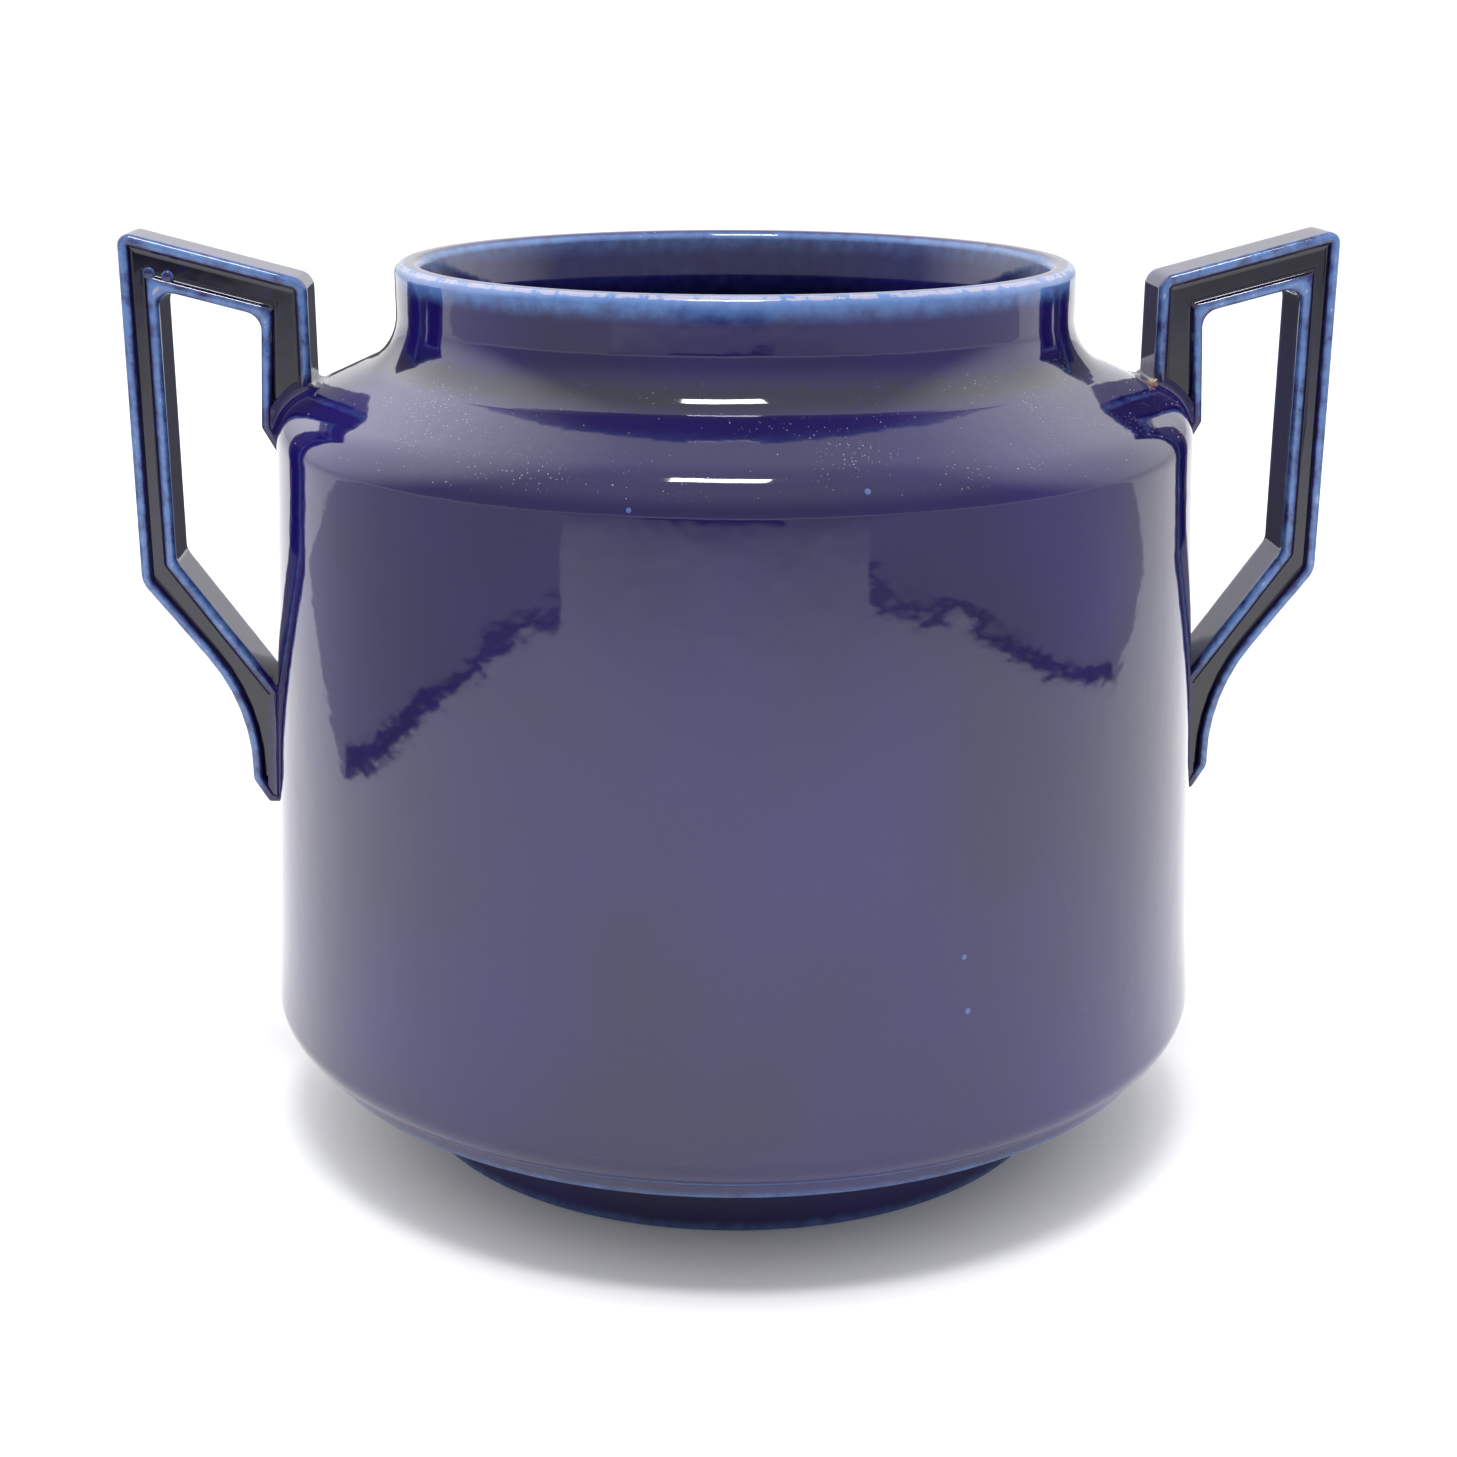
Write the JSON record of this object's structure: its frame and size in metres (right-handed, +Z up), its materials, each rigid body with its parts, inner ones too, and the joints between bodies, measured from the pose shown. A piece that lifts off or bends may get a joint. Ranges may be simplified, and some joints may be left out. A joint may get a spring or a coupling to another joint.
{
  "type": "two-handled glazed vase",
  "caption": "Squat round vase with a wide upright neck, sloping shoulder, low foot ring and angular fretwork strap handles, for holding a plant or flowers.",
  "frame": {"origin": "centre of the resting face, at the bottom of the foot ring", "axes": "+Z up along the pot's axis of turning, X through both handles, Y through the plain front and back"},
  "size_m": [0.189, 0.1528, 0.1453],
  "materials": {
    "cobalt_glaze": "glossy cobalt-blue glaze, paler where it runs thin on ridges and lip, nearly black where it pools"
  },
  "bodies": {
    "root": {"pot_body": "cobalt_glaze", "neck_collar": "cobalt_glaze", "foot_ring": "cobalt_glaze", "handle_left": "cobalt_glaze", "handle_right": "cobalt_glaze", "upper_skirt_left": "cobalt_glaze", "upper_skirt_right": "cobalt_glaze", "lower_skirt_left": "cobalt_glaze", "lower_skirt_right": "cobalt_glaze"}
  },
  "joints": []
}
